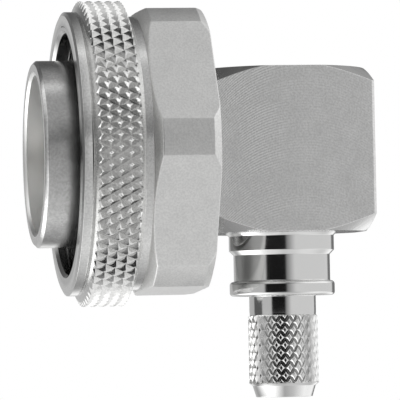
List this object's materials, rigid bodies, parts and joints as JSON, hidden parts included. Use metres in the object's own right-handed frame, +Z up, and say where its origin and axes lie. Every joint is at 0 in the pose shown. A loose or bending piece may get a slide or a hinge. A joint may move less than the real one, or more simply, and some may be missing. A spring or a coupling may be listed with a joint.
{
  "type": "right-angle coaxial plug connector",
  "caption": "Right-angle coaxial power plug: tube contact with a knurled, hexagonal screw coupling nut, square elbow block and knurled crimp neck for the cable.",
  "frame": {"origin": "centre of the front rim of the outer contact tube, on the plug axis", "axes": "-X is the mating direction of the plug, +X runs into the elbow block, -Z is the way the cable leaves, +Z is up"},
  "size_m": [0.0376, 0.0346, 0.0453],
  "materials": {
    "plated_satin": "white bronze plate over turned and milled brass, satin",
    "plated_bright": "white bronze plate over turned brass, bright",
    "contact_silver": "silver plate, satin",
    "white_insulator": "waxy white fluoropolymer",
    "seal_rubber": "matt black silicone"
  },
  "bodies": {
    "connector": {"elbow_block": "plated_satin", "access_cap": "plated_satin", "outer_contact": "plated_bright", "face_gasket": "seal_rubber", "journal_seal": "seal_rubber", "centre_pin": "contact_silver", "front_insulator": "white_insulator", "stem_insulator": "white_insulator", "cable_contact": "contact_silver", "neck_insulator": "white_insulator"},
    "carrier": {"slip_ring": "white_insulator"},
    "nut": {"coupling_nut": "plated_satin"}
  },
  "joints": [
    {"name": "nut_slide", "type": "slide", "parent": "connector", "child": "carrier", "axis": [-1, 0, 0], "range_m": [0, 0.0036]},
    {"name": "nut_spin", "type": "hinge", "parent": "carrier", "child": "nut", "pos_m": [0.0146, 0, 0], "axis": [-1, 0, 0], "continuous": true}
  ]
}
